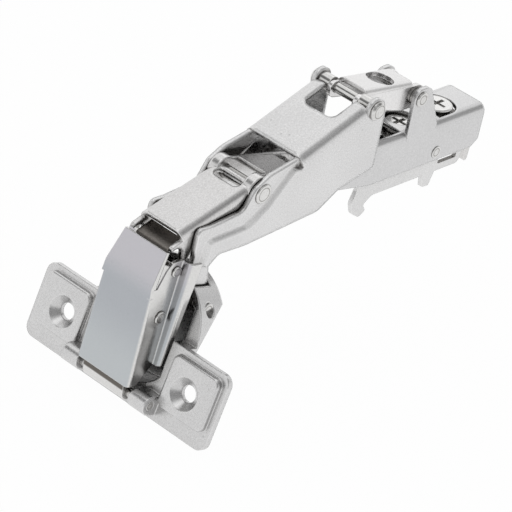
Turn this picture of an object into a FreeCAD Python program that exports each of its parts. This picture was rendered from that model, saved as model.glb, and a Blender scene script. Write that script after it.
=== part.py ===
import FreeCAD, Part
import math
import os

os.makedirs("parts", exist_ok=True)
V = FreeCAD.Vector

# Pivots in the side plane as (x, z), hinge fully open
BRIDGE_REAR = (-1.2, 27.8)
BRIDGE_FRONT = (22.6, 32.0)
LEVER_CROSS = (62.0, 17.0)
CUP_PIVOT = (80.8, -9.8)
COVER_TOP = (90.3, 1.9)
COVER_LOW = (98.3, -32.8)
# The bridge and the inner lever's crank are equal and parallel
INNER_REAR = (BRIDGE_REAR[0] + LEVER_CROSS[0] - BRIDGE_FRONT[0],
              BRIDGE_REAR[1] + LEVER_CROSS[1] - BRIDGE_FRONT[1])

# Sheet and clearances
SHEET = 1.3
COVER_SHEET = 1.0
SIDE_GAP = 0.3
RUN = 0.05
LOOSE = 0.2

# Layers across the hinge, as half widths to the outer face
WASHER = 0.9
ARM_HALF = 7.5
ARM_IN = ARM_HALF - SHEET
BRIDGE_HALF = ARM_IN - WASHER - 2 * RUN
CARRIER_HALF = ARM_IN - RUN
CRANK_HALF = ARM_IN - SIDE_GAP
INNER_HALF = ARM_HALF
LEG_IN = INNER_HALF + SIDE_GAP
LEG_OUT = LEG_IN + SHEET
WALL_OUT = LEG_OUT + SHEET

# Pins
PIN_R = 1.5
CROSS_R = 1.8
CUP_PIN_R = 1.7
COVER_PIN_R = 1.2
LOW_PIN_R = 1.3

# Arm and clip carrier
ARM_TOP = 17.8
ARM_LOW = 5.0
ARM_REAR = -33.2
ARM_WEB_FRONT = 2.4
CARRIER_TOP = 14.2
DEPTH_SCREW_X = -20.0
SIDE_SCREW_X = -4.0
HEAD_R = 4.7
HEAD_TALL = 3.8
HEAD_REACH = 4.2
SIDE_HEAD_R = 4.0
SIDE_HEAD_TALL = 2.2
SIDE_HEAD_REACH = 7.9
SHANK_R = 2.4
BEND = 2.6
LATCH_PIVOT = (-14.1, 7.8)

# Cup, in its own axes: n out of the door, y, w along the flange
OPEN_TILT = 15.0
HOLE_LINE = (95.0, -26.0)
HOLE_SPACING = 45.0
FLANGE_HALF = 33.3
FLANGE_W = (-11.7, 10.1)
PAD_W = (-6.8, 8.4)
BASE_N = -1.75
SEAT_N = -3.4
RIM_N = -5.6
FLOOR_N = -14.7
BOTTOM_N = -15.9
BOSS_R = 17.5
BOSS_W = 9.5
CAVITY_R = 16.1
CAVITY_HALF = 12.6
KNUCKLE_R = 2.7
KNUCKLE_Y = (9.6, 15.2)


def outline(points, y):
    """Closed wire in the plane y; a third value on a point rounds it."""
    n = len(points)
    edges = []
    ends = []
    for i in range(n):
        p = V(points[i][0], y, points[i][1])
        radius = points[i][2] if len(points[i]) > 2 else 0.0
        if radius <= 0.0:
            ends.append((p, p, None))
            continue
        a = V(points[i - 1][0], y, points[i - 1][1])
        b = V(points[(i + 1) % n][0], y, points[(i + 1) % n][1])
        u = (a - p).normalize()
        v = (b - p).normalize()
        half = math.acos(max(-1.0, min(1.0, u.dot(v)))) / 2.0
        back = radius / math.tan(half)
        middle = (u + v).normalize()
        apex = p + middle * (radius / math.sin(half) - radius)
        ends.append((p + u * back, p + v * back, apex))
    for i in range(n):
        start, stop, apex = ends[i]
        if apex is not None:
            edges.append(Part.Arc(start, apex, stop).toShape())
        following = ends[(i + 1) % n][0]
        if (following - stop).Length > 1e-6:
            edges.append(Part.makeLine(stop, following))
    return Part.Wire(edges)


def plate(points, y0, y1):
    return Part.Face(outline(points, y0)).extrude(V(0, y1 - y0, 0))


def rod(p, radius, y0, y1):
    return Part.makeCylinder(radius, y1 - y0, V(p[0], y0, p[1]), V(0, 1, 0))


def box(x0, x1, y0, y1, z0, z1):
    return Part.makeBox(x1 - x0, y1 - y0, z1 - z0, V(x0, y0, z0))


def mirrored(shape):
    return shape.mirror(V(0, 0, 0), V(0, 1, 0))


def both(shape):
    return [shape, mirrored(shape)]


def joined(shapes):
    return shapes[0].multiFuse(shapes[1:]).removeSplitter()


def less(shape, tools):
    return shape.cut(tools)


def save(name, shapes):
    if not isinstance(shapes, list):
        shapes = [shapes]
    solids = [s for shape in shapes for s in shape.Solids]
    Part.makeCompound(solids).exportStep("parts/" + name + ".step")


def channel(p, q, half, sheet, bend, depth):
    """Bent channel along p to q; its web's outer face lies on that line."""
    along = V(q[0] - p[0], 0, q[1] - p[1])
    down = V(along.z, 0, -along.x).normalize()
    if down.z > 0:
        down = down * -1.0
    base = V(p[0], 0, p[1])
    inner = bend - sheet
    s = math.sin(math.pi / 4)

    def at(y, h):
        return base + V(0, y, 0) + down * h

    c = half - bend
    edges = [
        Part.makeLine(at(half, depth), at(half, bend)),
        Part.Arc(at(half, bend), at(c + bend * s, bend - bend * s), at(c, 0)).toShape(),
        Part.makeLine(at(c, 0), at(-c, 0)),
        Part.Arc(at(-c, 0), at(-c - bend * s, bend - bend * s), at(-half, bend)).toShape(),
        Part.makeLine(at(-half, bend), at(-half, depth)),
        Part.makeLine(at(-half, depth), at(sheet - half, depth)),
        Part.makeLine(at(sheet - half, depth), at(sheet - half, bend)),
        Part.Arc(at(sheet - half, bend), at(-c - inner * s, bend - inner * s), at(-c, sheet)).toShape(),
        Part.makeLine(at(-c, sheet), at(c, sheet)),
        Part.Arc(at(c, sheet), at(c + inner * s, bend - inner * s), at(half - sheet, bend)).toShape(),
        Part.makeLine(at(half - sheet, bend), at(half - sheet, depth)),
        Part.makeLine(at(half - sheet, depth), at(half, depth)),
    ]
    return Part.Face(Part.Wire(edges)).extrude(along)


def headed_pin(p, radius, reach, head_r, head):
    """Pin across the hinge with a head at each end, beyond reach."""
    disc = rod(p, head_r, reach, reach + head)
    rim = [e for e in disc.Edges if e.BoundBox.YMin > reach + head / 2]
    disc = disc.makeChamfer(0.5 * head, rim)
    return joined([rod(p, radius, -reach, reach)] + both(disc))


# Arm channel
def arm_channel():
    nose_r = 3.1
    nx, nz = INNER_REAR
    side = [
        (ARM_REAR, ARM_TOP + 1), (ARM_REAR, 7.0, 0.8), (-30.5, ARM_LOW, 1.0), (14.0, ARM_LOW, 20.0),
        (30.0, nz - 5.0, 8.0), (nx + nose_r, nz - nose_r, 2.9), (nx + nose_r, nz + nose_r, 2.9),
        (28.0, 15.4, 6.0), (13.0, ARM_TOP, 3.0), (12.0, ARM_TOP + 1),
    ]
    body = channel((ARM_REAR, ARM_TOP), (nx + 6.0, ARM_TOP), ARM_HALF, SHEET, BEND, 16.0)
    body = body.common(plate(side, -20, 20))
    open_front = box(ARM_WEB_FRONT, 60, -5.6, 5.6, 12.0, 30)
    nose_relief = box(13.0, 60, -ARM_IN, ARM_IN, 0, 30)
    depth_slot = joined([
        Part.makeCylinder(5.7, 10, V(DEPTH_SCREW_X, 0, 12.0)),
        box(DEPTH_SCREW_X, DEPTH_SCREW_X + 5.5, -5.7, 5.7, 12.0, 22.0),
    ])
    side_hole = Part.makeCylinder(4.5, 10, V(SIDE_SCREW_X, 0, 12.0))
    body = less(body, [open_front, nose_relief, depth_slot, side_hole])
    bx, bz = BRIDGE_REAR
    ear = plate([(1.2, 15.0), (bx + 2.9, bz + 3.1, 3.0), (bx - 3.4, bz + 3.1, 3.0), (-11.2, ARM_TOP, 2.0),
                 (-11.6, 15.0)], ARM_IN, ARM_HALF)
    body = joined([body] + both(ear))
    holes = [
        rod(BRIDGE_REAR, PIN_R, -20, 20),
        rod(INNER_REAR, PIN_R, -20, 20),
        rod(LATCH_PIVOT, PIN_R, -20, 20),
    ]
    return less(body, holes)


# Clip carrier with its front hook, rear tooth and rolled lip
def clip_carrier():
    side = [
        (-28.4, CARRIER_TOP + 1), (-28.4, 0.0, 1.8), (-17.6, 0.0), (-16.2, -4.2, 0.6), (-13.2, -4.0, 0.6),
        (-12.2, 0.0), (9.6, 0.0, 2.0), (12.7, -2.2, 0.8), (11.1, -4.3, 0.7), (13.4, -6.0, 1.6),
        (16.7, -4.1, 2.2), (18.1, -0.5, 2.4), (16.8, 3.4, 2.4), (16.4, 11.0, 2.0), (12.0, CARRIER_TOP + 1),
    ]
    body = channel((-40, CARRIER_TOP), (30, CARRIER_TOP), CARRIER_HALF, SHEET, 1.8, 26.0)
    body = body.common(plate(side, -20, 20))
    window = plate([(-26.4, 2.2, 0.5), (-18.2, 2.2, 0.5), (-18.2, 6.4, 0.5), (-26.4, 6.4, 0.5)], -20, 20)
    lip_centre = (9.4, CARRIER_TOP + 1.9)
    lip = rod(lip_centre, 1.9, -4.2, 4.2).fuse(box(9.4, 12.0, -4.2, 4.2, CARRIER_TOP - 0.2, CARRIER_TOP + 0.8))
    lip = lip.cut(rod(lip_centre, 0.9, -5, 5))
    body = joined([body, lip])
    holes = [
        Part.makeCylinder(SHANK_R + LOOSE, 8, V(DEPTH_SCREW_X, 0, 10)),
        Part.makeCylinder(SHANK_R + LOOSE, 8, V(SIDE_SCREW_X, 0, 10)),
        rod(LATCH_PIVOT, PIN_R, -20, 20),
        window,
    ]
    return less(body, holes)


# Adjusting screw with a domed rim, a cross recess and a plain shank with a tapered tip
def screw(x, head_r, tall, reach):
    seat = CARRIER_TOP + LOOSE
    head_top = seat + tall
    head = Part.makeCylinder(head_r, tall, V(x, 0, seat))
    head = head.makeFillet(0.12 * head_r, [e for e in head.Edges if e.BoundBox.ZMin > head_top - 0.01])
    shank = Part.makeCylinder(SHANK_R, reach, V(x, 0, seat - reach))
    tip = [e for e in shank.Edges if e.BoundBox.ZMax < seat - reach + 0.01]
    shank = shank.makeChamfer(0.25 * SHANK_R, tip)
    slot = head_r * 0.62
    cross = [
        box(x - slot, x + slot, -0.55, 0.55, head_top - 1.2, head_top + 1),
        box(x - 0.55, x + 0.55, -slot, slot, head_top - 1.2, head_top + 1),
    ]
    return less(joined([head, shank]), cross)


# Release latch: a wide lever whose tail hangs behind the arm
def clip_latch():
    half = CARRIER_HALF - SHEET - SIDE_GAP
    px, pz = LATCH_PIVOT
    profile = [
        (px + 2.6, pz - 2.6, 2.1), (px + 2.6, pz + 2.6, 2.1), (px - 2.6, pz + 2.6, 2.0), (px - 5.0, 8.6, 2.0),
        (-31.0, 8.0, 2.0), (-33.0, 4.0, 2.0), (-34.9, 3.2, 0.5), (-34.6, -1.8, 0.8), (-33.2, -1.8, 0.6),
        (-32.6, 2.0, 1.5), (-30.6, 6.4, 1.5), (px - 4.0, 6.8, 2.0),
    ]
    return less(plate(profile, -half, half), [rod(LATCH_PIVOT, PIN_R + RUN, -20, 20)])


def latch_spring():
    top = CARRIER_TOP - SHEET - RUN
    leaf = [(-23.4, top), (-23.4, top - 0.5), (-26.6, top - 0.9, 0.4), (-24.0, top - 1.9), (-24.2, top - 2.3),
            (-28.0, top - 0.9, 0.5), (-27.4, top)]
    return plate(leaf, -3.4, 3.4)


# Bridge link
def bridge_link():
    bx, bz = BRIDGE_REAR
    ax, az = BRIDGE_FRONT
    web0 = (bx + 1.9, bz + 4.5)
    web1 = (ax - 1.8, az + 2.8)
    body = channel(web0, web1, BRIDGE_HALF, SHEET, 1.9, 3.2)
    side = [
        (bx - 3.2, bz + 3.0, 3.0), (bx + 2.2, bz + 3.4, 1.5), (web1[0] - 1.0, web1[1] - 1.6),
        (ax + 2.7, az + 2.4, 2.2), (ax + 2.7, az - 2.5, 2.2), (ax - 6.0, az - 4.1, 4.0),
        (bx + 5.0, bz - 3.4, 3.0), (bx - 3.2, bz - 3.4, 3.0),
    ]
    walls = both(plate(side, BRIDGE_HALF - SHEET, BRIDGE_HALF))
    body = joined([body] + walls)
    hole = Part.makeCylinder(4.0, 20, V(9.9, 0, az - 2.0), V(-0.09, 0, 1))
    return less(body, [hole, rod(BRIDGE_REAR, PIN_R + RUN, -20, 20), rod(BRIDGE_FRONT, PIN_R + RUN, -20, 20)])


def ring(p, inner, outer, y0, y1):
    return rod(p, outer, y0, y1).cut(rod(p, inner, y0 - 1, y1 + 1))


# Outer lever: channel, joggled side walls and legs in one pressing
WEB_FRONT = (49.9, 24.6)
WEB_REAR = (26.0, 33.3)
OUTER_BEND = 3.0
JOGGLE = 1.6


def web_below(x, drop):
    slope = (WEB_REAR[1] - WEB_FRONT[1]) / (WEB_REAR[0] - WEB_FRONT[0])
    return (x, WEB_FRONT[1] + slope * (x - WEB_FRONT[0]) - drop)


def outer_wall(step):
    """Wall in the outer layer; step draws the joggled front edge back."""
    s = step
    return [
        web_below(24.0, OUTER_BEND + 0.2), (18.6, 32.0, 1.0), (18.1, 13.4, 1.5), (31.5, 10.2, 3.0), (38.8, 5.6, 4.0),
        (66.6, 3.5, 30.0), (76.8, 3.9, 3.0), (80.0, 1.2, 0.8), (82.8 - s, 1.2, 0.6), (81.4 - s, 9.3 - s, 1.2),
        (67.6 - s, 9.6 - s, 2.5), (60.6 - 0.8 * s, 13.6 - 0.6 * s, 3.0), (52.6 - 0.8 * s, 22.4 - 0.6 * s, 1.0),
        (WEB_FRONT[0] - 0.2, WEB_FRONT[1] - OUTER_BEND - 0.2),
    ]


def outer_lever():
    web = channel(WEB_REAR, WEB_FRONT, WALL_OUT, SHEET, OUTER_BEND, OUTER_BEND + 1.0)
    notch_half = BRIDGE_HALF + SIDE_GAP
    notch = box(0, WEB_REAR[0] + 8.6, -notch_half, notch_half, 20, 45)
    notch = notch.makeFillet(2.2, [e for e in notch.Edges if e.BoundBox.XMin > WEB_REAR[0] and e.BoundBox.YLength < 1])
    web = less(web, [notch])
    sloped = Part.makeLoft([outline(outer_wall(0.0), LEG_OUT), outline(outer_wall(JOGGLE), WALL_OUT)], True, True)
    eye = rod(BRIDGE_FRONT, 3.3, LEG_OUT, WALL_OUT)
    wall = joined([sloped, eye])
    cx, cz = CUP_PIVOT
    leg_outline = [
        (45.0, 22.0), (WEB_FRONT[0], WEB_FRONT[1] - 0.6), (60.0, 21.9, 6.0), (65.0, 19.2, 3.0), (68.2, 13.4, 3.0),
        (79.6, 12.4), (84.8, 12.6, 1.8), (85.2, 3.0, 8.0), (cx + 3.2, cz + 2.0, 2.0), (cx + 3.2, cz - 3.2, 3.1),
        (cx - 3.2, cz - 3.2, 3.1), (cx - 3.2, cz + 6.0, 6.0), (78.8, 3.0, 2.0), (78.4, 7.4, 1.5), (66.6, 6.0, 3.0),
        (54.0, 16.0),
    ]
    leg = plate(leg_outline, LEG_IN, LEG_OUT)
    body = joined([web] + both(wall) + both(leg))
    return less(body, [
        rod(BRIDGE_FRONT, PIN_R, -20, 20),
        rod(LEVER_CROSS, CROSS_R, -20, 20),
        rod(CUP_PIVOT, CUP_PIN_R + RUN, -20, 20),
    ])


# Where the cover's rolled eye lies against the crank when the door is shut
CRANK_RELIEF = (56.1, 11.9)


# Inner lever: front channel, hub and narrow crank; forks open downwards at the cover's pin
def inner_lever():
    rear = (63.6, 19.3)
    front = (89.4, 12.2)
    hx, hz = LEVER_CROSS
    ex, ez = INNER_REAR
    fx, fz = COVER_TOP
    web = channel(rear, front, INNER_HALF, SHEET, BEND, BEND + 1.6)
    slot = box(64.6, 67.9, -4.5, 4.5, 10, 30)
    slot = slot.makeFillet(1.5, [e for e in slot.Edges if e.BoundBox.ZLength > 15])
    web = less(web, [slot])
    side = [
        (rear[0] - 2.0, rear[1] - BEND, 1.5), (rear[0], rear[1] - BEND), (front[0], front[1] - BEND), (92.2, 8.6, 0.8),
        (92.2, fz - 0.2), (86.2, fz + 0.6, 1.3), (84.6, 5.2, 3.0), (82.0, 10.4, 2.5), (75.0, 10.4, 2.5),
        (70.6, 9.0, 4.0), (hx - 1.0, hz - 4.2, 3.0), (hx - 4.2, hz - 3.0, 2.5), (hx - 4.2, hz + 0.6, 1.0),
    ]
    wall = plate(side, INNER_HALF - SHEET, INNER_HALF)
    fork_half = 1.1 + COVER_PIN_R + LOOSE
    fork_top = fz + 4.8 + COVER_PIN_R + LOOSE
    fork_x = fx + 0.25
    fork = plate([(fork_x - fork_half, fz - 12), (fork_x + fork_half, fz - 12),
                  (fork_x + fork_half, fork_top, fork_half - 0.05), (fork_x - fork_half, fork_top, fork_half - 0.05)],
                 -20, 20)
    wall = less(wall, [fork])
    hub = rod(LEVER_CROSS, 4.0, CRANK_HALF - SHEET, INNER_HALF)
    along = V(hx - ex, 0, hz - ez).normalize()
    across = V(-along.z, 0, along.x)
    corners = []
    for base, radius, sign in ((ex, 3.0, 1), (ex, 3.0, -1), (hx, 3.6, -1), (hx, 3.6, 1)):
        root = V(ex, 0, ez) if base == ex else V(hx, 0, hz)
        point = root + across * (sign * radius)
        corners.append((point.x, point.z))
    bar = plate(corners, CRANK_HALF - SHEET, CRANK_HALF)
    bar = less(bar, [rod(CRANK_RELIEF, LOW_PIN_R + RUN + COVER_SHEET + SIDE_GAP, -20, 20)])
    eye = rod(INNER_REAR, 3.0, CRANK_HALF - SHEET, CRANK_HALF)
    halves = []
    for piece in (wall, hub, bar, eye):
        halves += both(piece)
    start = V(ex, 0, ez) + along * 5.5 + across * 3.05
    stop = V(hx, 0, hz) - along * 4.2 + across * 3.5
    tie = plate([(start.x, start.z), (stop.x, stop.z), (stop.x - across.x * SHEET, stop.z - across.z * SHEET),
                 (start.x - across.x * SHEET, start.z - across.z * SHEET)], -CRANK_HALF, CRANK_HALF)
    body = joined([web, tie] + halves)
    return less(body, [rod(LEVER_CROSS, CROSS_R + RUN, -20, 20), rod(INNER_REAR, PIN_R + RUN, -20, 20)])


# Cover link: tapered hat section lofted between two levels, a bent top plate and a rolled eye
COVER_LEVELS = (
    # z, web face, web half, flange face, outer wall half, outer wall back
    (-29.5, 101.7, 9.4, 94.2, 11.8, 92.6),
    (5.0, 97.7, 8.5, 88.1, 11.8, 84.0),
)


COVER_BEND = 1.4
COVER_FOLD_Z = -0.6
COVER_FOLD_R = 4.0
COVER_TIP = (94.0, 7.9)
TIP_HALF = 7.5


def hat(level):
    z, xw, hw, xf, hf, xb = level
    t = COVER_SHEET
    r = COVER_BEND
    right = [
        (xw, hw, r), (xf, hw, r - t), (xf, hf, r), (xb, hf), (xb, hf - t),
        (xf - t, hf - t, r - t), (xf - t, hw - t, r), (xw - t, hw - t, r - t),
    ]
    left = [(p[0], -p[1]) + p[2:] for p in reversed(right)]
    section = outline(right + left, z)
    section.rotate(V(0, 0, 0), V(1, 0, 0), 90)
    return section


def on_cover(z, column):
    """Value of a column of the hat section's levels, at height z."""
    low, high = COVER_LEVELS
    return low[column] + (high[column] - low[column]) * (z - low[0]) / (high[0] - low[0])


def between_sides(inset, z0):
    """Tapered block that bounds the cover's top plate at its sides."""
    half = on_cover(z0, 2) - inset
    tip = TIP_HALF - inset
    top = COVER_TIP[1]
    points = [(-half, z0), (half, z0), (tip, top), (-tip, top)]
    face = Part.Face(Part.makePolygon([V(70, y, z) for y, z in points + points[:1]]))
    return face.extrude(V(40, 0, 0))


def bent_top():
    """Top plate folded back over the levers, with a lip down each side."""
    z0 = COVER_FOLD_Z - 3.4
    root = V(on_cover(z0, 1), 0, z0)
    fold = V(on_cover(COVER_FOLD_Z, 1), 0, COVER_FOLD_Z)
    tip = V(COVER_TIP[0], 0, COVER_TIP[1])
    lower = (fold - root).normalize()
    upper = (tip - fold).normalize()
    n1 = V(lower.z, 0, -lower.x)
    n2 = V(upper.z, 0, -upper.x)
    behind = (n1 + n2) * (-COVER_SHEET / (1 + n1.dot(n2)))
    under = tip + behind
    outer = plate([(root.x, root.z), (fold.x, fold.z, COVER_FOLD_R), (tip.x, tip.z), (under.x, under.z),
                   (fold.x - 3.4, fold.z + 4.0, 1.0), (fold.x - 1.8, fold.z, 1.0), (root.x - 1.8, root.z)], -20, 20)
    a = root + behind - lower
    b = fold + behind
    c = under + upper
    core = plate([(a.x, a.z), (b.x, b.z, COVER_FOLD_R - COVER_SHEET), (c.x, c.z), (80, c.z), (80, a.z)], -20, 20)
    core = core.common(between_sides(COVER_SHEET, z0))
    return outer.common(between_sides(0.0, z0)).cut(core)


def cover_link():
    t = COVER_SHEET
    body = Part.makeLoft([hat(level) for level in COVER_LEVELS], True, True)
    fx = on_cover(COVER_FOLD_Z, 1)
    fz = COVER_FOLD_Z
    over_top = plate([(110, fz - 1.0), (fx - 2.0, fz - 1.0), (fx - 2.5, fz), (fx - 4.6, fz + 3.6, 2.0),
                      (fx - 6.6, fz + 5.4, 1.0), (88.0, 4.6, 1.0), (80, 3.4), (80, 12), (110, 12)], -20, 20)
    low_corner = plate([(98.6, -34), (98.2, -29.4), (93.2, -24.6), (80, -24.6), (80, -34)], -20, 20)
    body = less(body, [over_top, low_corner])
    gx, gz = COVER_LOW
    eye_r = LOW_PIN_R + RUN + t
    eye_half = LEG_IN - 0.5
    low = COVER_LEVELS[0]
    neck = plate([(low[1] - t - 1.2, low[0] + 3.5), (low[1] - t + 0.1, low[0] + 3.5), (low[1] - t + 0.1, low[0]),
                  (gx + eye_r, gz), (gx, gz)], -eye_half, eye_half)
    body = joined([body, bent_top(), neck, rod(COVER_LOW, eye_r, -eye_half, eye_half)])
    return less(body, [
        rod(COVER_LOW, LOW_PIN_R + RUN, -20, 20),
        rod(COVER_TOP, COVER_PIN_R, -10.6, 10.6),
        rod(SPRING_RIVET, COVER_PIN_R, -10.6, 10.6),
    ])


SPRING_RIVET = (93.6, -10.7)
SPRING_HALF = 5.6


def closing_spring():
    sx, sz = SPRING_RIVET
    coil = ring(SPRING_RIVET, COVER_PIN_R + RUN, COVER_PIN_R + 0.8, -SPRING_HALF, SPRING_HALF)
    t = 0.7
    fx = sx + COVER_PIN_R + 0.8
    rise = [(fx - t, sz), (fx, sz), (fx, 1.0, 3.0), (91.8, 7.2, 2.0), (86.6, 9.0), (86.4, 9.0 - t), (91.3, 6.6, 1.4),
            (fx - t, 0.8, 2.3)]
    return joined([coil, plate(rise, -SPRING_HALF, SPRING_HALF)])


# Cup with screw tabs, in its own axes and then tilted
def to_place(shape):
    shape.rotate(V(0, 0, 0), V(0, 1, 0), -OPEN_TILT)
    shape.translate(V(HOLE_LINE[0], 0, HOLE_LINE[1]))
    return shape


def in_cup(p):
    a = math.radians(OPEN_TILT)
    x = p[0] - HOLE_LINE[0]
    z = p[1] - HOLE_LINE[1]
    return (x * math.cos(a) + z * math.sin(a), z * math.cos(a) - x * math.sin(a))


def tab_block(y0, y1, w0, w1, n0, n1, radius):
    points = [(y0, w0), (y1, w0), (y1, w1), (y0, w1)]
    block = Part.Face(Part.makePolygon([V(n0, y, w) for y, w in points + points[:1]])).extrude(V(n1 - n0, 0, 0))
    uprights = [e for e in block.Edges if abs(e.Vertexes[0].X - e.Vertexes[-1].X) > 0.1]
    return block.makeFillet(radius, uprights)


def across_n(radius, w, n0, n1, y=0.0):
    return Part.makeCylinder(radius, n1 - n0, V(n0, y, w), V(1, 0, 0))


def side_facet(wall):
    """Half space below the sloping facet of the boss, moved inwards by wall."""
    rise_y = 1.613
    rise_w = -0.244
    lift = wall * math.sqrt(1 + rise_y ** 2 + rise_w ** 2)
    sections = []
    for w in (-30.0, 50.0):
        corners = []
        for y in (2.0, 40.0):
            corners.append(V(-14.3 + lift + rise_y * (y - 14.0) + rise_w * (w - 19.6), y, w))
        corners += [V(-120, 40.0, w), V(-120, 2.0, w)]
        sections.append(Part.makePolygon(corners + corners[:1]))
    return Part.makeLoft(sections, True, True)


def cup():
    base = tab_block(-FLANGE_HALF, FLANGE_HALF, FLANGE_W[0], FLANGE_W[1], SEAT_N, BASE_N, 3.0)
    pad = tab_block(15.4, FLANGE_HALF - 1.8, PAD_W[0], PAD_W[1], BASE_N, 0.0, 2.0)
    pad = pad.makeFillet(0.7, [e for e in pad.Edges if e.BoundBox.XMin > -0.01])
    boss = across_n(BOSS_R, BOSS_W, BOTTOM_N, RIM_N)
    boss = boss.makeFillet(1.0, [e for e in boss.Edges if e.BoundBox.XMax < BOTTOM_N + 0.01])
    upper = across_n(BOSS_R, BOSS_W, RIM_N, SEAT_N).common(box(-20, 5, -40, 40, -40, FLANGE_W[1]))
    boss = less(joined([boss, upper]), both(side_facet(0.0)))
    gn, gw = in_cup(COVER_LOW)
    knuckle = rod((gn, gw), KNUCKLE_R, KNUCKLE_Y[0], KNUCKLE_Y[1])
    foot = box(SEAT_N, gn, KNUCKLE_Y[0], KNUCKLE_Y[1], gw - KNUCKLE_R, gw + KNUCKLE_R)
    body = joined([base, boss] + both(pad) + both(knuckle) + both(foot))
    cavity = across_n(CAVITY_R, BOSS_W, FLOOR_N, 10).common(box(-30, 20, -CAVITY_HALF, CAVITY_HALF, -40, 60))
    cavity = less(cavity, both(side_facet(1.3)))
    notch_half = LEG_OUT + 0.6
    notch = box(-12.6, 10, -notch_half, notch_half, BOSS_W + 9.0, 60)
    lip = box(BASE_N - 0.4, 20, -KNUCKLE_Y[0], KNUCKLE_Y[0], gw - 3.2, gw + 10)
    dn, dw = in_cup(CUP_PIVOT)
    hole = HOLE_SPACING / 2.0
    cuts = [cavity, notch, rod((dn, dw), CUP_PIN_R, -30, 30), rod((gn, gw), LOW_PIN_R, -30, 30), lip]
    for y in (-hole, hole):
        cuts.append(across_n(2.3, 0.0, SEAT_N - 1, 1, y))
        cuts.append(Part.makeCone(2.3, 4.5, 2.2, V(-2.2, y, 0), V(1, 0, 0)))
    return to_place(less(body, cuts))


save("arm_channel", arm_channel())
save("clip_carrier", clip_carrier())
save("depth_screw", screw(DEPTH_SCREW_X, HEAD_R, HEAD_TALL, HEAD_REACH))
save("side_screw", screw(SIDE_SCREW_X, SIDE_HEAD_R, SIDE_HEAD_TALL, SIDE_HEAD_REACH))
save("clip_latch", clip_latch())
save("latch_pin", headed_pin(LATCH_PIVOT, PIN_R, ARM_HALF, 1.8, 0.25))
save("latch_spring", latch_spring())
save("bridge_rear_pin", headed_pin(BRIDGE_REAR, PIN_R, ARM_HALF, 2.2, 0.6))
save("bridge_washers", both(ring(BRIDGE_REAR, PIN_R + RUN, 2.5, BRIDGE_HALF + RUN, ARM_IN - RUN)))
save("inner_rear_pin", rod(INNER_REAR, PIN_R, -ARM_HALF, ARM_HALF))
save("bridge_link", bridge_link())
save("bridge_front_pin", headed_pin(BRIDGE_FRONT, PIN_R, WALL_OUT, 2.7, 1.2))
save("pin_collars", both(ring(BRIDGE_FRONT, PIN_R + RUN, 2.4, BRIDGE_HALF + RUN, LEG_OUT - RUN)))
save("outer_lever", outer_lever())
save("lever_rivet", headed_pin(LEVER_CROSS, CROSS_R, LEG_OUT, 2.8, 0.5))
save("inner_lever", inner_lever())
save("cover_link", cover_link())
save("cover_pin", headed_pin(COVER_TOP, COVER_PIN_R, 8.7, 1.6, 0.4))
save("spring_rivet", headed_pin(SPRING_RIVET, COVER_PIN_R, 9.0, 1.9, 0.4))
save("closing_spring", closing_spring())
save("cup", cup())
save("cup_pin", rod(CUP_PIVOT, CUP_PIN_R, -13.9, 13.9))
save("cover_hinge_pin", rod(COVER_LOW, LOW_PIN_R, -KNUCKLE_Y[1], KNUCKLE_Y[1]))
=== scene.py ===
"""Looks of an open wide-angle cabinet hinge: nickel-plated pressings, pins and springs on a pale floor."""

import bpy
import numpy as np
from mathutils import Matrix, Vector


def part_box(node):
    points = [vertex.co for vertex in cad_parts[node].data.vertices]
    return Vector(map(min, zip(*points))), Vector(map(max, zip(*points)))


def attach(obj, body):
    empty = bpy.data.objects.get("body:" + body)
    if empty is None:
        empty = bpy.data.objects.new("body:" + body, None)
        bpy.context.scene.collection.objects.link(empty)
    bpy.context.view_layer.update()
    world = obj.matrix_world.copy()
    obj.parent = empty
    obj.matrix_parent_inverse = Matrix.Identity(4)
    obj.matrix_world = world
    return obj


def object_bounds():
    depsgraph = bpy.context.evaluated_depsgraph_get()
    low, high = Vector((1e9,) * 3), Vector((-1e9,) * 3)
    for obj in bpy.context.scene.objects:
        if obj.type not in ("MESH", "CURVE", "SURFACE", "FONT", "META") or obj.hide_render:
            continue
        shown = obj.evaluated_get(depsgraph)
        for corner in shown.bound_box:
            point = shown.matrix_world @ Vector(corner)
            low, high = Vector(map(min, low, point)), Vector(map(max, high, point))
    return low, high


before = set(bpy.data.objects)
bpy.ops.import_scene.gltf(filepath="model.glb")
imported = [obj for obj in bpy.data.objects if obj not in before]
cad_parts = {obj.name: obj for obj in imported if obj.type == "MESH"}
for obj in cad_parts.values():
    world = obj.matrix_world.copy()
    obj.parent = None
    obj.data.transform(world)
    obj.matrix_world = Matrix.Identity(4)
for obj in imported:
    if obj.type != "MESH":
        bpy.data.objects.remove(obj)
cad_low, cad_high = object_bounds()
scene = bpy.context.scene
MM = 0.001
NUMBER = "NodeSocketFloat"
VECTOR = "NodeSocketVector"


def new_group(name, inputs, outputs):
    """Shader group with named sockets; inputs are (name, kind, default), outputs are (name, kind)."""
    group = bpy.data.node_groups.new(name, "ShaderNodeTree")
    for socket, kind, default in inputs:
        made = group.interface.new_socket(socket, in_out="INPUT", socket_type=kind)
        made.default_value = default
    for socket, kind in outputs:
        group.interface.new_socket(socket, in_out="OUTPUT", socket_type=kind)
    return group, group.nodes.new("NodeGroupInput"), group.nodes.new("NodeGroupOutput")


def feed(tree, value, socket):
    """Join another node's output to the socket, or set a plain value on it."""
    if hasattr(value, "links"):
        tree.links.new(value, socket)
    else:
        socket.default_value = value


def math_node(tree, operation, *values, clamp=False):
    node = tree.nodes.new("ShaderNodeMath")
    node.operation = operation
    node.use_clamp = clamp
    for value, socket in zip(values, node.inputs):
        feed(tree, value, socket)
    return node.outputs["Value"]


def times(tree, a, b, clamp=False):
    return math_node(tree, "MULTIPLY", a, b, clamp=clamp)


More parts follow.
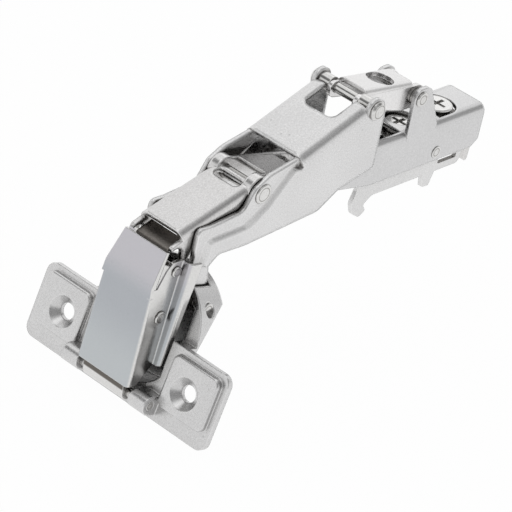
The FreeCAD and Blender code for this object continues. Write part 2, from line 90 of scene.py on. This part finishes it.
def vector_node(tree, operation, *values):
    """Vector sum; a length or a dot product comes out as a number."""
    node = tree.nodes.new("ShaderNodeVectorMath")
    node.operation = operation
    for value, socket in zip(values, node.inputs):
        feed(tree, value, socket)
    return node.outputs["Value" if operation in ("LENGTH", "DOT_PRODUCT") else "Vector"]


def noise(tree, vector, scale, detail=2.0, rough=0.5):
    node = tree.nodes.new("ShaderNodeTexNoise")
    tree.links.new(vector, node.inputs["Vector"])
    feed(tree, scale, node.inputs["Scale"])
    node.inputs["Detail"].default_value = detail
    node.inputs["Roughness"].default_value = rough
    return node.outputs["Fac"]


def remap(tree, value, low, high, to_low=0.0, to_high=1.0):
    """Smooth step from to_low, where value is low, to to_high, where it is high."""
    node = tree.nodes.new("ShaderNodeMapRange")
    node.interpolation_type = "SMOOTHSTEP"
    tree.links.new(value, node.inputs["Value"])
    for socket, number in zip(("From Min", "From Max", "To Min", "To Max"), (low, high, to_low, to_high)):
        node.inputs[socket].default_value = number
    return node.outputs["Result"]


def colour_mix(tree, factor, a, b):
    """Mix of two colours, each another node's output or three plain numbers."""
    first_colour, second_colour, mixed_colour = 6, 7, 2
    node = tree.nodes.new("ShaderNodeMix")
    node.data_type = "RGBA"
    tree.links.new(factor, node.inputs["Factor"])
    for number, colour in ((first_colour, a), (second_colour, b)):
        feed(tree, colour if hasattr(colour, "links") else (*colour, 1.0), node.inputs[number])
    return node.outputs[mixed_colour]


def own_place(tree):
    """Where a point lies on its piece, in the piece's own axes."""
    return tree.nodes.new("ShaderNodeTexCoord").outputs["Object"]


def plate_grain():
    """Grain of a plated pressing: fine pebble height, speckled cloudiness and sparse dark pits."""
    group, into, out = new_group(
        "plate_grain",
        [("Grain Scale", NUMBER, 1500.0), ("Pit Amount", NUMBER, 0.5)],
        [("Height", NUMBER), ("Cloud", NUMBER), ("Pits", NUMBER)],
    )
    coarser, finer = 0.3, 1.7
    fine_height, pebble_height = 0.6, 0.8
    broad_cloud, speckle_cloud, whole_cloud = 0.5, 1.1, 0.65
    cloud_scale, pit_scale, patch_scale = 55.0, 420.0, 130.0
    place = own_place(group)
    scale = into.outputs["Grain Scale"]
    fine = noise(group, place, scale, detail=3.0, rough=0.6)
    pebble = noise(group, place, times(group, scale, coarser))
    height = math_node(group, "ADD", times(group, fine, fine_height), times(group, pebble, pebble_height))
    speckle = noise(group, place, times(group, scale, finer), detail=1.0)
    broad = times(group, noise(group, place, cloud_scale, detail=3.0), broad_cloud)
    cloud = math_node(group, "ADD", broad, times(group, speckle, speckle_cloud))
    cells = group.nodes.new("ShaderNodeTexVoronoi")
    group.links.new(place, cells.inputs["Vector"])
    cells.inputs["Scale"].default_value = pit_scale
    spot = remap(group, cells.outputs["Distance"], low=0.05, high=0.17, to_low=1.0, to_high=0.0)
    chosen = remap(group, noise(group, place, patch_scale, detail=1.0), low=0.54, high=0.66)
    pits = times(group, times(group, spot, chosen), into.outputs["Pit Amount"])
    group.links.new(height, out.inputs["Height"])
    group.links.new(times(group, cloud, whole_cloud), out.inputs["Cloud"])
    group.links.new(pits, out.inputs["Pits"])
    return group


def edge_rounding():
    """Rounded edges: the normal averaged over a small radius, and where it turns from the face's own."""
    group, into, out = new_group(
        "edge_rounding",
        [("Sharpness", NUMBER, 9.0), ("Radius", NUMBER, 0.36 * MM)],
        [("Edge", NUMBER), ("Normal", VECTOR)],
    )
    bevel = group.nodes.new("ShaderNodeBevel")
    bevel.samples = 8
    group.links.new(into.outputs["Radius"], bevel.inputs["Radius"])
    face = group.nodes.new("ShaderNodeNewGeometry")
    agreement = vector_node(group, "DOT_PRODUCT", bevel.outputs["Normal"], face.outputs["Normal"])
    turned = math_node(group, "SUBTRACT", 1.0, agreement)
    group.links.new(times(group, turned, into.outputs["Sharpness"], clamp=True), out.inputs["Edge"])
    group.links.new(bevel.outputs["Normal"], out.inputs["Normal"])
    return group


AXIS_SOCKETS = [("Centre", VECTOR, (0, 0, 0)), ("Axis Mask", VECTOR, (1, 0, 1))]


def off_axis(group, into):
    """Distance from the axis through Centre; the Axis Mask drops the part along it."""
    away = vector_node(group, "SUBTRACT", own_place(group), into.outputs["Centre"])
    return vector_node(group, "LENGTH", vector_node(group, "MULTIPLY", away, into.outputs["Axis Mask"]))


def turned_rings():
    """Lathe marks: fine rings round an axis, as a wave of the distance from it between 0 and 1."""
    group, into, out = new_group(
        "turned_rings", AXIS_SOCKETS + [("Pitch Scale", NUMBER, 9000.0)], [("Height", NUMBER)],
    )
    half = 0.5
    wave = math_node(group, "SINE", times(group, off_axis(group, into), into.outputs["Pitch Scale"]))
    group.links.new(math_node(group, "MULTIPLY_ADD", wave, half, half), out.inputs["Height"])
    return group


def ring_groove():
    """Peened ring on a pin's end: one in a narrow band at Radius from the axis."""
    group, into, out = new_group(
        "ring_groove",
        AXIS_SOCKETS + [("Radius", NUMBER, 1.5 * MM), ("Half Width", NUMBER, 0.22 * MM)],
        [("Groove", NUMBER)],
    )
    beside = math_node(group, "SUBTRACT", off_axis(group, into), into.outputs["Radius"])
    share = math_node(group, "DIVIDE", math_node(group, "ABSOLUTE", beside), into.outputs["Half Width"])
    group.links.new(remap(group, share, low=0.3, high=1.0, to_low=1.0, to_high=0.0), out.inputs["Groove"])
    return group


def fold_shade():
    """Painted shade in folds and hollows: how far a point is closed in by what is near, from 0 open to 1
    deep.
    """
    group, into, out = new_group(
        "fold_shade",
        [("Reach", NUMBER, 6.0 * MM), ("Start", NUMBER, 0.84)],
        [("Closed In", NUMBER)],
    )
    soft_start = 0.75
    probe = group.nodes.new("ShaderNodeAmbientOcclusion")
    probe.samples = 10
    group.links.new(into.outputs["Reach"], probe.inputs["Distance"])
    gap = math_node(group, "SUBTRACT", into.outputs["Start"], probe.outputs["AO"])
    share = math_node(group, "DIVIDE", gap, into.outputs["Start"], clamp=True)
    group.links.new(math_node(group, "POWER", share, soft_start), out.inputs["Closed In"])
    return group


def facing_side():
    """One on faces that look along Side in the piece's own axes, falling to nothing as they turn away."""
    group, into, out = new_group("facing_side", [("Side", VECTOR, (1.0, 0.0, 0.1))], [("Mask", NUMBER)])
    normal = group.nodes.new("ShaderNodeTexCoord").outputs["Normal"]
    along = vector_node(group, "DOT_PRODUCT", normal, into.outputs["Side"])
    group.links.new(remap(group, along, low=0.55, high=0.9), out.inputs["Mask"])
    return group


GRAIN = plate_grain()
EDGE_ROUNDING = edge_rounding()
RINGS = turned_rings()
GROOVE = ring_groove()
SHADE = fold_shade()
FACING = facing_side()


def placed(tree, group, **values):
    """One use of a group; a socket's name has a low line where it has a space."""
    node = tree.nodes.new("ShaderNodeGroup")
    node.node_tree = group
    for socket, value in values.items():
        node.inputs[socket.replace("_", " ")].default_value = value
    return node


# Dark warm tone of the painted shade in folds, in ring grooves and in the shadow line under the cover plate's
# end
SHADE_TONE = (0.085, 0.074, 0.062)
SHEEN = (0.75, 0.76, 0.78)
SHEEN_SHARE = 0.07
SHADOW_LINE_SHARE = 0.92
# Heights on the cover plate: where a change of tone starts, and where it is complete, for the painted
# reflection and the painted shadow line
LOW_TO_MIDDLE = (-26.0 * MM, -8.0 * MM)
MIDDLE_TO_TOP = (-5.0 * MM, 2.5 * MM)
PLATE_END = (-30.0 * MM, -29.4 * MM)
SHADOW_LINE_FOOT = (-31.95 * MM, -31.45 * MM)


def front_tone(tree, tone, mottle, front):
    """Painted reflection on forward faces: a low, a middle and a top tone by height with a speckled sheen,
    and a painted shadow line on the eye under the plate's end.
    """
    split = tree.nodes.new("ShaderNodeSeparateXYZ")
    tree.links.new(own_place(tree), split.inputs["Vector"])
    height = split.outputs["Z"]
    low, middle_tone, top = front
    cool = colour_mix(tree, remap(tree, height, *LOW_TO_MIDDLE), low, middle_tone)
    cool = colour_mix(tree, remap(tree, height, *MIDDLE_TO_TOP), cool, top)
    cool = colour_mix(tree, times(tree, mottle, SHEEN_SHARE), cool, SHEEN)
    above_end = remap(tree, height, *PLATE_END)
    forwards = placed(tree, FACING).outputs["Mask"]
    # Painted reflection: forward faces above the plate's end take the tones graded by height
    tone = colour_mix(tree, times(tree, forwards, above_end), tone, cool)
    # Painted shadow: a dark line on the eye just under the plate's end
    under_end = math_node(tree, "SUBTRACT", remap(tree, height, *SHADOW_LINE_FOOT), above_end)
    shadow_line = times(tree, forwards, under_end, clamp=True)
    return colour_mix(tree, times(tree, shadow_line, SHADOW_LINE_SHARE), tone, SHADE_TONE)


# Shares of a finish's own tones and roughness, of the painted highlight at edges and of the painted shade in
# ring grooves
PIT_TONE = 0.45
EDGE_HIGHLIGHT_GAIN = 1.12
EDGE_HIGHLIGHT_SHARE = 0.6
EDGE_SMOOTHER = 0.35
LEAST_ROUGH = 0.75
CLOUDY_ROUGH = 0.5
GRAIN_UNDER_RINGS = 0.4
GROOVE_DEPTH = 3.0
GROOVE_SHADE = 0.6
BUMP_HEIGHT = 0.05 * MM


def nickel(name, light, dark, rough, grain=1500.0, depth=0.25, pits=0.5, rings=None, front=None,
           folds=0.85, edge_radius=0.36):
    """Nickel plate: cloudy between two tones, pebbled, with a painted highlight at edges and painted shade in
    the folds.

    front gives the low, middle and top tones of the painted reflection on the faces that look forwards. rings
    gives a turned piece's centre, the mask of its axis and the radius of the ring on its end, if it has one.
    """
    made = bpy.data.materials.new(name)
    made.use_nodes = True
    tree = made.node_tree
    shader = tree.nodes["Principled BSDF"]
    shader.inputs["Metallic"].default_value = 1.0
    surface = placed(tree, GRAIN, Grain_Scale=grain, Pit_Amount=pits)
    edge = placed(tree, EDGE_ROUNDING, Radius=edge_radius * MM)
    mottle = remap(tree, surface.outputs["Cloud"], low=0.34, high=0.70)
    tone = colour_mix(tree, mottle, dark, light)
    if front is not None:
        tone = front_tone(tree, tone, mottle, front)
    in_pits = tuple(PIT_TONE * part for part in dark)
    pitted = colour_mix(tree, surface.outputs["Pits"], tone, in_pits)
    # Painted highlight: edges brightened towards a lighter copy of the light tone
    edge_highlight = tuple(min(1.0, EDGE_HIGHLIGHT_GAIN * part) for part in light)
    highlighted_tone = colour_mix(tree, times(tree, edge.outputs["Edge"], EDGE_HIGHLIGHT_SHARE), pitted, edge_highlight)
    # Painted shade: how far the colour darkens towards the shade tone in folds and hollows
    shaded = times(tree, placed(tree, SHADE).outputs["Closed In"], folds)
    smoother = times(tree, edge.outputs["Edge"], -EDGE_SMOOTHER * rough)
    cloudy = times(tree, surface.outputs["Cloud"], CLOUDY_ROUGH * rough)
    varied = math_node(tree, "ADD", cloudy, LEAST_ROUGH * rough)
    tree.links.new(math_node(tree, "ADD", varied, smoother, clamp=True), shader.inputs["Roughness"])
    height = surface.outputs["Height"]
    if rings is not None:
        centre, mask, groove = rings
        lathe = placed(tree, RINGS, Centre=centre, Axis_Mask=mask)
        height = math_node(tree, "ADD", times(tree, height, GRAIN_UNDER_RINGS), lathe.outputs["Height"])
        if groove is not None:
            sunk = placed(tree, GROOVE, Centre=centre, Axis_Mask=mask, Radius=groove).outputs["Groove"]
            height = math_node(tree, "SUBTRACT", height, times(tree, sunk, GROOVE_DEPTH))
            # Painted shade: the colour darkens in the ring's groove
            shaded = math_node(tree, "MAXIMUM", shaded, times(tree, sunk, GROOVE_SHADE))
    # Colour with the painted shade of folds and grooves mixed in
    tree.links.new(colour_mix(tree, shaded, highlighted_tone, SHADE_TONE), shader.inputs["Base Color"])
    bump = tree.nodes.new("ShaderNodeBump")
    bump.inputs["Strength"].default_value = depth
    bump.inputs["Distance"].default_value = BUMP_HEIGHT
    tree.links.new(height, bump.inputs["Height"])
    tree.links.new(edge.outputs["Normal"], bump.inputs["Normal"])
    tree.links.new(bump.outputs["Normal"], shader.inputs["Normal"])
    return made


def dress(material, *names):
    for name in names:
        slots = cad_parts[name].data.materials
        slots.clear()
        slots.append(material)


def middle(name):
    low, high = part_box(name)
    return tuple(0.5 * (a + b) for a, b in zip(low, high))


# Masks for turned pieces: the axis of a pin lies across the hinge, that of a screw is upright
ACROSS = (1, 0, 1)
UPRIGHT = (1, 1, 0)

dress(nickel("nickel_outer_lever", light=(0.73, 0.727, 0.727), dark=(0.63, 0.627, 0.627), rough=0.25,
             grain=1300.0, depth=0.3, folds=0.95, edge_radius=1.8), "outer_lever")
dress(nickel("nickel_inner_lever", light=(0.71, 0.703, 0.70), dark=(0.60, 0.593, 0.59), rough=0.25,
             grain=1300.0, depth=0.3, folds=0.9, edge_radius=1.0), "inner_lever")
dress(nickel("nickel_arm", light=(0.655, 0.653, 0.655), dark=(0.58, 0.578, 0.58), rough=0.24,
             grain=1600.0, pits=0.3, folds=0.55, edge_radius=0.8), "arm_channel")
dress(nickel("nickel_carrier", light=(0.725, 0.722, 0.72), dark=(0.63, 0.627, 0.625), rough=0.25,
             grain=1600.0, pits=0.3), "clip_carrier")
dress(nickel("nickel_bridge", light=(0.82, 0.812, 0.81), dark=(0.73, 0.722, 0.72), rough=0.24,
             grain=1400.0, depth=0.28, folds=0.2), "bridge_link")
COVER_PLATE = nickel("nickel_cover", light=(0.74, 0.735, 0.725), dark=(0.63, 0.625, 0.615), rough=0.22,
                     grain=1900.0, depth=0.14, pits=0.12, folds=0.38,
                     front=((0.475, 0.50, 0.515), (0.40, 0.42, 0.445), (0.515, 0.505, 0.535)))
dress(COVER_PLATE, "cover_link")
dress(nickel("nickel_cup", light=(0.665, 0.662, 0.662), dark=(0.575, 0.572, 0.572), rough=0.28,
             grain=1300.0, depth=0.24, pits=0.4, folds=0.25, edge_radius=0.6), "cup")
dress(nickel("nickel_latch", light=(0.70, 0.69, 0.68), dark=(0.60, 0.59, 0.58), rough=0.26,
             grain=1600.0, pits=0.3), "clip_latch")
# Dark spring steel on both springs, made this dark as painted shade where the closing spring shows in the
# front opening
dress(nickel("dark_spring_and_shade", light=(0.22, 0.205, 0.19), dark=(0.14, 0.13, 0.12), rough=0.3,
             grain=1700.0, depth=0.2, pits=0.2), "latch_spring", "closing_spring")

# Radius of the peened ring on each pin's ends, in millimetres
PIN_GROOVES = {
    "latch_pin": 1.15, "bridge_rear_pin": 1.3, "bridge_washers": 2.0, "inner_rear_pin": 0.9,
    "bridge_front_pin": 1.85, "pin_collars": 2.0, "lever_rivet": 1.9, "cover_pin": 1.0,
    "spring_rivet": 1.25, "cup_pin": 1.1, "cover_hinge_pin": 0.8,
}
for pin, groove in PIN_GROOVES.items():
    dress(nickel("nickel_" + pin, light=(0.72, 0.715, 0.705), dark=(0.60, 0.595, 0.585), rough=0.11,
                 grain=1800.0, depth=0.1, pits=0.2, rings=(middle(pin), ACROSS, groove * MM)), pin)
for screw in ("depth_screw", "side_screw"):
    dress(nickel("nickel_" + screw, light=(0.80, 0.795, 0.785), dark=(0.68, 0.675, 0.665), rough=0.2,
                 grain=1800.0, depth=0.15, pits=0.3, rings=(middle(screw), UPRIGHT, None), folds=0.3), screw)


def loop_quads(loops, around, first=0):
    """Four-sided faces between each closed loop of points and the next one."""
    i, j = np.meshgrid(np.arange(loops - 1), np.arange(around), indexing="ij")
    here = first + i * around + j
    beside = first + i * around + (j + 1) % around
    return np.stack([here, beside, beside + around, here + around], axis=-1).reshape(-1, 4)


def new_piece(name, points, faces, material):
    mesh = bpy.data.meshes.new(name)
    mesh.from_pydata(points.tolist(), [], faces)
    mesh.materials.append(material)
    piece = bpy.data.objects.new(name, mesh)
    scene.collection.objects.link(piece)
    return piece


# Rims of the slit at the cover's fold, in millimetres, at these shares of its height
RIM_SHARES = (0.0, 0.2, 1.0)
LIP_RIM = ((96.75, 8.28, -1.4), (96.65, 8.20, -0.6), (94.5, 7.68, 4.7))
WALL_RIM = ((96.15, 8.42, -1.4), (95.6, 8.40, -0.6), (92.9, 8.27, 4.0))
WEB_SHEET = 0.5


def along_rim(rim, shares):
    return np.stack([np.interp(shares, RIM_SHARES, column) for column in zip(*rim)], axis=1)


def fold_web(name, side):
    """Web that closes the corner of the cover's fold: a strip ruled from the lip's rim to the wall's rim.

    Point (u, v) = rim of the lip * (1 - v) + rim of the wall * v at the share u of the height. A second
    layer of it lies one sheet thickness nearer the middle, and the rims join the two.
    """
    steps, across = 14, 5
    around = 2 * across
    u = np.linspace(0.0, 1.0, steps)
    v = np.linspace(0.0, 1.0, across)[None, :, None]
    outer = along_rim(LIP_RIM, u)[:, None, :] * (1.0 - v) + along_rim(WALL_RIM, u)[:, None, :] * v
    inner = outer[:, ::-1] - np.array([0.0, WEB_SHEET, 0.0])
    points = np.concatenate([outer, inner], axis=1) * np.array([1.0, side, 1.0]) * MM
    k = np.arange(across - 1)
    cap = np.stack([k, around - 1 - k, around - 2 - k, k + 1], axis=-1)
    far_cap = (cap + (steps - 1) * around)[:, ::-1]
    faces = np.concatenate([loop_quads(steps, around), cap, far_cap])
    outwards = faces if side > 0 else faces[:, ::-1]
    piece = new_piece(name, points.reshape(-1, 3), outwards.tolist(), COVER_PLATE)
    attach(piece, "cover")


fold_web("fold_web_right", 1)
fold_web("fold_web_left", -1)


def shows_background(tree):
    """One where a ray shows the background: seen straight on, in a mirror or through glass."""
    path = tree.nodes.new("ShaderNodeLightPath")
    shown = math_node(tree, "MAXIMUM", path.outputs["Is Camera Ray"], path.outputs["Is Glossy Ray"])
    return math_node(tree, "MAXIMUM", shown, path.outputs["Is Transmission Ray"])


PAPER_TONES = ((0.86, 0.86, 0.86), (0.88, 0.88, 0.88))
PAPER_SCALE = 60.0
PAPER_ROUGH = 0.9
FLOOR_GLOW = 0.975
FLOOR_RADIUS = 4.0
FLOOR_GAP = 0.4 * MM


def floor_paper():
    """Matt paper: white where it shows, grey where it bounces, with the shadow kept."""
    made = bpy.data.materials.new("pale_floor")
    made.use_nodes = True
    tree = made.node_tree
    shader = tree.nodes["Principled BSDF"]
    shader.inputs["Roughness"].default_value = PAPER_ROUGH
    shader.inputs["Specular IOR Level"].default_value = 0.0
    paper = noise(tree, own_place(tree), PAPER_SCALE, detail=3.0)
    tree.links.new(colour_mix(tree, paper, *PAPER_TONES), shader.inputs["Base Color"])
    glow = tree.nodes.new("ShaderNodeEmission")
    glow.inputs["Strength"].default_value = 1.0
    mixed = tree.nodes.new("ShaderNodeMixShader")
    tree.links.new(times(tree, shows_background(tree), FLOOR_GLOW), mixed.inputs["Fac"])
    tree.links.new(shader.outputs["BSDF"], mixed.inputs[1])
    tree.links.new(glow.outputs["Emission"], mixed.inputs[2])
    tree.links.new(mixed.outputs["Shader"], tree.nodes["Material Output"].inputs["Surface"])
    return made


def pale_floor():
    """Wide flat disc just under the cup.

    Point (r, a) = (r * cosine of a, r * sine of a, level), where r grows with the square of the ring's share.
    """
    rings, spokes = 23, 64
    r = np.linspace(0.0, 1.0, rings + 1)[1:, None] ** 2 * FLOOR_RADIUS
    a = np.linspace(0.0, 2.0 * np.pi, spokes, endpoint=False)[None, :]
    level = cad_low[2] - FLOOR_GAP
    ring_points = np.stack([r * np.cos(a), r * np.sin(a), np.full((rings, spokes), level)], axis=-1)
    points = np.concatenate([[[0.0, 0.0, level]], ring_points.reshape(-1, 3)])
    k = np.arange(spokes)
    fan = np.stack([np.zeros(spokes, int), 1 + k, 1 + (k + 1) % spokes], axis=-1)
    quads = loop_quads(rings, spokes, first=1)[:, ::-1]
    floor = new_piece("floor", points, fan.tolist() + quads.tolist(), floor_paper())


# Dim parts of the room: the way to each, the cosines where it starts and where it is deepest, the light left
DIM_PARTS = (
    ((-0.22, 0.50, 0.84), 0.80, 0.97, 0.47),
    ((0.70, 0.52, 0.50), 0.72, 0.95, 0.38),
    ((0.05, 0.95, 0.30), 0.80, 0.98, 0.74),
    ((-0.66, 0.48, 0.58), 0.88, 0.98, 0.45),
    ((0.45, -0.52, 0.73), 0.945, 0.985, 0.20),
)
ROOM_TINT = (0.98, 0.985, 1.0, 1.0)
SHOWN_TINT = (1.0, 1.0, 1.0, 1.0)


def pale_world():
    """Studio room: white walls, a ceiling a little brighter, and dim parts; white where it is looked at."""
    world = bpy.data.worlds.new("studio")
    world.use_nodes = True
    scene.world = world
    tree = world.node_tree
    way = tree.nodes.new("ShaderNodeTexCoord").outputs["Generated"]
    split = tree.nodes.new("ShaderNodeSeparateXYZ")
    tree.links.new(way, split.inputs["Vector"])
    room = remap(tree, split.outputs["Z"], low=0.45, high=0.9, to_low=1.0, to_high=1.03)
    for dim_way, start, deepest, light_left in DIM_PARTS:
        towards = vector_node(tree, "DOT_PRODUCT", way, dim_way)
        room = times(tree, room, remap(tree, towards, start, deepest, to_low=1.0, to_high=light_left))
    base = tree.nodes["Background"]
    base.inputs["Color"].default_value = ROOM_TINT
    tree.links.new(room, base.inputs["Strength"])
    shown = tree.nodes.new("ShaderNodeBackground")
    shown.inputs["Color"].default_value = SHOWN_TINT
    looked_at = tree.nodes.new("ShaderNodeLightPath").outputs["Is Camera Ray"]
    tree.links.new(math_node(tree, "MAXIMUM", looked_at, room), shown.inputs["Strength"])
    mixed = tree.nodes.new("ShaderNodeMixShader")
    tree.links.new(shows_background(tree), mixed.inputs["Fac"])
    tree.links.new(base.outputs["Background"], mixed.inputs[1])
    tree.links.new(shown.outputs["Background"], mixed.inputs[2])
    tree.links.new(mixed.outputs["Shader"], tree.nodes["World Output"].inputs["Surface"])


def unit(vector):
    return vector / np.linalg.norm(vector)


def stand(holder, place, right, up, back):
    """Put a lamp or a camera at place, facing away from back, and add it to the scene."""
    turn = np.eye(4)
    turn[:3, :3] = np.stack([right, up, back], axis=1)
    turn[:3, 3] = place
    holder.matrix_world = Matrix(turn.tolist())
    scene.collection.objects.link(holder)


LAMP_TARGET = (0.05, 0.0, 0.0)
STRAIGHT_UP = (0.0, 0.0, 1.0)


def soft_lamp(name, place, size, power):
    """Round lamp that faces the middle of the hinge."""
    lamp = bpy.data.lights.new(name, "AREA")
    lamp.shape = "DISK"
    lamp.size = size
    lamp.energy = power
    back = unit(np.array(place) - np.array(LAMP_TARGET))
    right = unit(np.cross(STRAIGHT_UP, back))
    stand(bpy.data.objects.new(name, lamp), place, right, np.cross(back, right), back)


CAMERA_PLACE = (606.0, 416.3, 386.4)
CAMERA_BACK = (0.6965, 0.5188, 0.4957)
CAMERA_RIGHT = (-0.6682, 0.7208, 0.1843)
SENSOR_WIDTH = 36.0
LENS_TO_WIDTH = 3001.4 / 512.0
FARTHEST = 20.0


def photo_camera():
    """Camera of the photograph: long lens, right of the cup and above it, slightly rolled."""
    back = unit(np.array(CAMERA_BACK))
    up = unit(np.cross(back, CAMERA_RIGHT))
    lens = bpy.data.cameras.new("photo")
    lens.sensor_fit = "HORIZONTAL"
    lens.sensor_width = SENSOR_WIDTH
    lens.lens = SENSOR_WIDTH * LENS_TO_WIDTH
    lens.clip_end = FARTHEST
    holder = bpy.data.objects.new("photo", lens)
    stand(holder, np.array(CAMERA_PLACE) * MM, np.cross(up, back), up, back)
    scene.camera = holder


pale_floor()
pale_world()
soft_lamp("key", place=(0.35, -0.25, 1.1), size=0.8, power=0.5)
soft_lamp("window", place=(-0.88, -0.70, 0.80), size=0.5, power=0.17)
photo_camera()
scene.view_settings.view_transform = "Standard"
